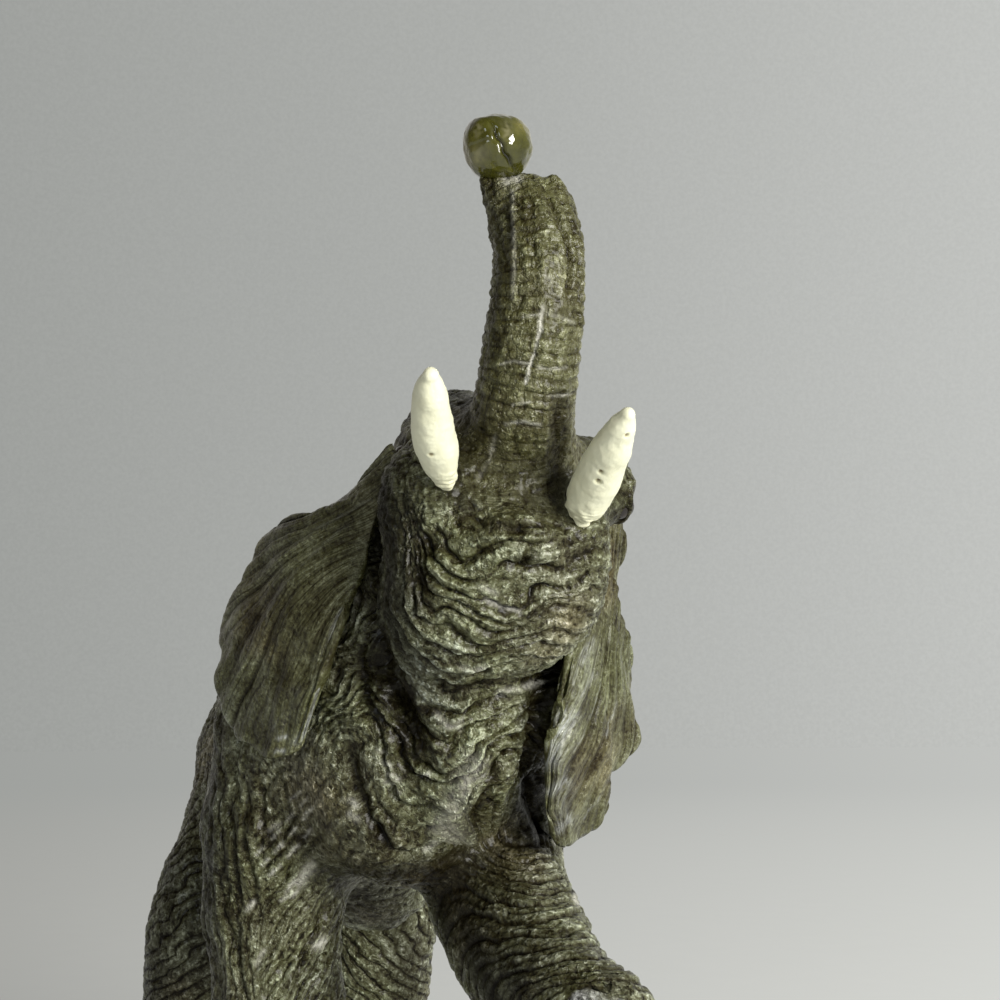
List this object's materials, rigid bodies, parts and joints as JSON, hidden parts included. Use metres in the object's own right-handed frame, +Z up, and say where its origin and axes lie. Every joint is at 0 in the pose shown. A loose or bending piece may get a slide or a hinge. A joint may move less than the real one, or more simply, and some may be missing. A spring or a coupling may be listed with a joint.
{
  "type": "toy elephant figure",
  "caption": "Cast-resin toy elephant standing with its trunk and one forefoot raised, cream tusks, glossy bead on the trunk tip; stands free on flat soles.",
  "frame": {"origin": "centre of the footprint of the bounding box, on the plane the soles stand on", "axes": "+Z up, the animal faces -Y, its own left side is +X"},
  "size_m": [0.0738, 0.199, 0.1784],
  "materials": {
    "resin_hide": "cast filled resin, dark olive grey, satin varnish, near-black in the creases",
    "resin_ear": "cast filled resin, darker olive grey, satin varnish",
    "cream_tusk": "cream paint, slightly rough, a few small pits",
    "dark_eye": "gloss black-brown",
    "green_bead": "translucent olive green, high gloss"
  },
  "bodies": {
    "root": {"torso": "resin_hide", "leg_front_right": "resin_hide", "leg_front_left": "resin_hide", "leg_hind_right": "resin_hide", "leg_hind_left": "resin_hide", "tail": "resin_hide", "head": "resin_hide", "ear_right": "resin_ear", "ear_left": "resin_ear", "tusk_right": "cream_tusk", "tusk_left": "cream_tusk", "eye_right": "dark_eye", "eye_left": "dark_eye", "trunk": "resin_hide", "trunk_tip_bead": "green_bead"}
  },
  "joints": []
}
